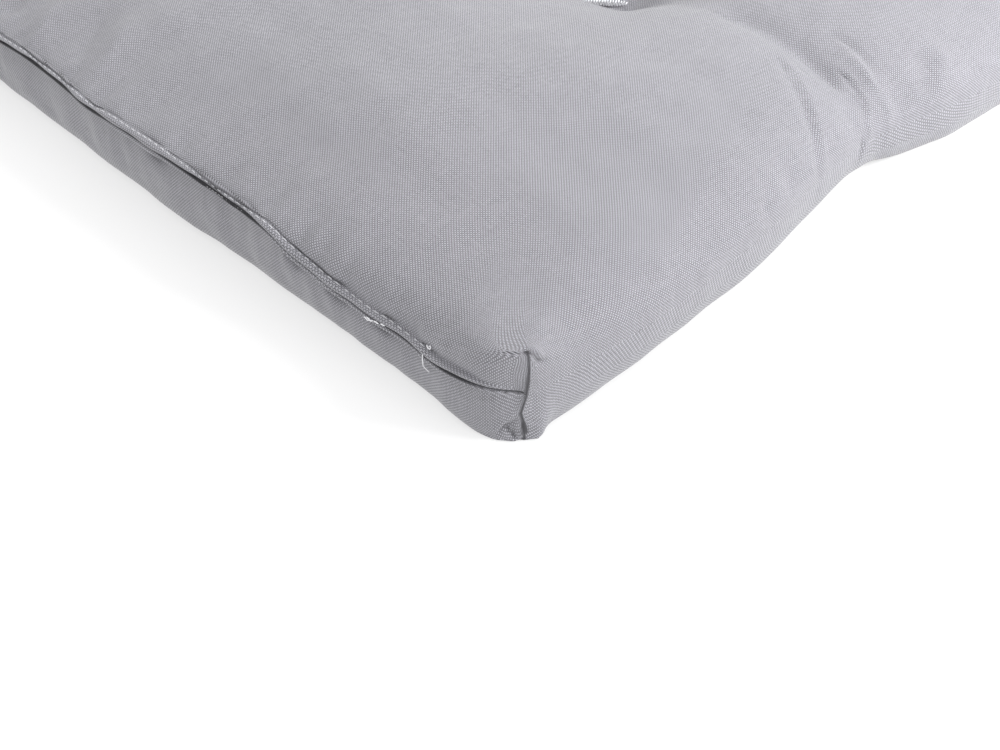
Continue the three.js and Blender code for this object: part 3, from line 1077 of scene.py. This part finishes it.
def cloth_material():
    """A grey plain weave with thicker stretches in its threads, with painted shade in the gaps of seams
    and creases.
    """
    g = Graph("cloth")
    u, v = thread_places(g)
    lengthwise = g.math("ABSOLUTE", g.math("SINE", g.math("MULTIPLY", v, math.pi)))
    crosswise = g.math("ABSOLUTE", g.math("SINE", g.math("MULTIPLY", u, math.pi)))
    cell = g.math("ADD", g.math("FLOOR", u), g.math("FLOOR", v))
    over = g.math("PINGPONG", cell, 1.0)
    tilt = g.math("SUBTRACT", lengthwise, crosswise)
    weave = g.math("MULTIPLY_ADD", over, tilt, crosswise)
    slub = g.noise(g.vector(g.math("MULTIPLY", u, SLUB_STRETCH), v), SLUB_SCALE, 3.0)
    crosswise_slub = g.noise(g.vector(u, g.math("MULTIPLY", v, SLUB_STRETCH)), SLUB_SCALE, 3.0)
    patchy = g.noise(g.vector(u, v), PATCH_SCALE, 3.0)
    tone = g.math("MULTIPLY_ADD", weave, WEAVE_TONE, g.math("MULTIPLY", over, OVER_TONE))
    tone = g.math("MULTIPLY_ADD", slub, SLUB_TONE, tone)
    tone = g.math("MULTIPLY_ADD", crosswise_slub, SLUB_TONE, tone)
    tone = g.math("MULTIPLY_ADD", patchy, PATCH_TONE, g.math("SUBTRACT", tone, TONE_SHIFT))
    # Painted shade: the gap attribute darkens the tone in seam gaps, under the lips and in crease bottoms
    gap = g.nodes.new("ShaderNodeAttribute")
    gap.attribute_name = "gap"
    tone = g.math("MULTIPLY", tone, g.math("SUBTRACT", 1.0, gap.outputs["Fac"]))
    g.put(g.ramp(tone, CLOTH_DARK, CLOTH_LIGHT), g.shader.inputs["Base Color"])
    g.put(g.bump(weave, 0.5, RELIEF), g.shader.inputs["Normal"])
    g.shader.inputs["Roughness"].default_value = 0.45
    g.shader.inputs["Specular IOR Level"].default_value = 0.5
    g.shader.inputs["Sheen Weight"].default_value = 0.15
    g.shader.inputs["Sheen Roughness"].default_value = 0.5
    return g.material


def thread_material(name, dark, light):
    g = Graph(name)
    place = g.nodes.new("ShaderNodeTexCoord").outputs["Object"]
    fibre = g.noise(place, FIBRE_SCALE, 3.0)
    g.put(g.ramp(fibre, dark, light), g.shader.inputs["Base Color"])
    g.put(g.bump(fibre, 0.4, RELIEF), g.shader.inputs["Normal"])
    g.shader.inputs["Roughness"].default_value = 0.5
    return g.material


def make_floor():
    bpy.ops.mesh.primitive_plane_add(size=FLOOR_SIZE, location=(0, 0, FLOOR_Z))
    floor = bpy.context.object
    floor.name = "floor"
    g = Graph("floor")
    speck = g.noise(g.nodes.new("ShaderNodeTexCoord").outputs["Object"], 3)
    g.put(g.ramp(speck, (0.33, 0.33, 0.33, 1), (0.35, 0.35, 0.35, 1)), g.shader.inputs["Base Color"])
    g.shader.inputs["Roughness"].default_value = 0.9
    g.shader.inputs["Specular IOR Level"].default_value = 0.0
    g.shader.inputs["Emission Color"].default_value = (1, 1, 1, 1)
    g.shader.inputs["Emission Strength"].default_value = FLOOR_GLOW
    floor.data.materials.append(g.material)


def make_light(name, place, aim, size, power, spread):
    """A round soft light. Its place and aim are in metres from the visible corner."""
    data = bpy.data.lights.new(name, "AREA")
    data.shape = "DISK"
    data.size = size
    data.energy = power
    data.spread = math.radians(spread)
    light = bpy.data.objects.new(name, data)
    light.location = Vector(CORNER * METRE) + Vector(place)
    light.rotation_euler = (Vector(place) - Vector(aim)).to_track_quat("Z", "Y").to_euler()
    light.visible_camera = False
    light.visible_glossy = False
    bpy.context.scene.collection.objects.link(light)


def make_lights():
    world = bpy.data.worlds.new("studio")
    bpy.context.scene.world = world
    world.use_nodes = True
    background = world.node_tree.nodes["Background"]
    background.inputs["Color"].default_value = (1, 1, 1, 1)
    background.inputs["Strength"].default_value = WORLD_GLOW
    for light in LIGHTS:
        make_light(*light)


def make_camera():
    data = bpy.data.cameras.new("camera")
    data.lens = LENS
    data.sensor_width = SENSOR
    data.clip_start = 0.01
    camera = bpy.data.objects.new("camera", data)
    bpy.context.scene.collection.objects.link(camera)
    place = Vector((CORNER + CAMERA_FROM_CORNER) * METRE)
    target = Vector((CORNER + TARGET_FROM_CORNER) * METRE)
    camera.location = place
    camera.rotation_euler = (target - place).to_track_quat("-Z", "Y").to_euler()
    bpy.context.scene.camera = camera


def finish_piece(piece, material):
    piece.data.materials.append(material)
    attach(piece, "root")


cover = build_cover()
cushion = make_cushion(cover)
stitches = make_stitches(cushion, cover)
tacks = make_tacks(cushion)
loose = make_loose_threads()
white_thread = thread_material("white_thread", *WHITE_THREAD)
grey_thread = thread_material("grey_thread", *GREY_THREAD)
finish_piece(cushion, cloth_material())
finish_piece(stitches, grey_thread)
finish_piece(tacks, white_thread)
finish_piece(loose, white_thread)
make_floor()
make_lights()
make_camera()
bpy.context.scene.view_settings.view_transform = "Standard"
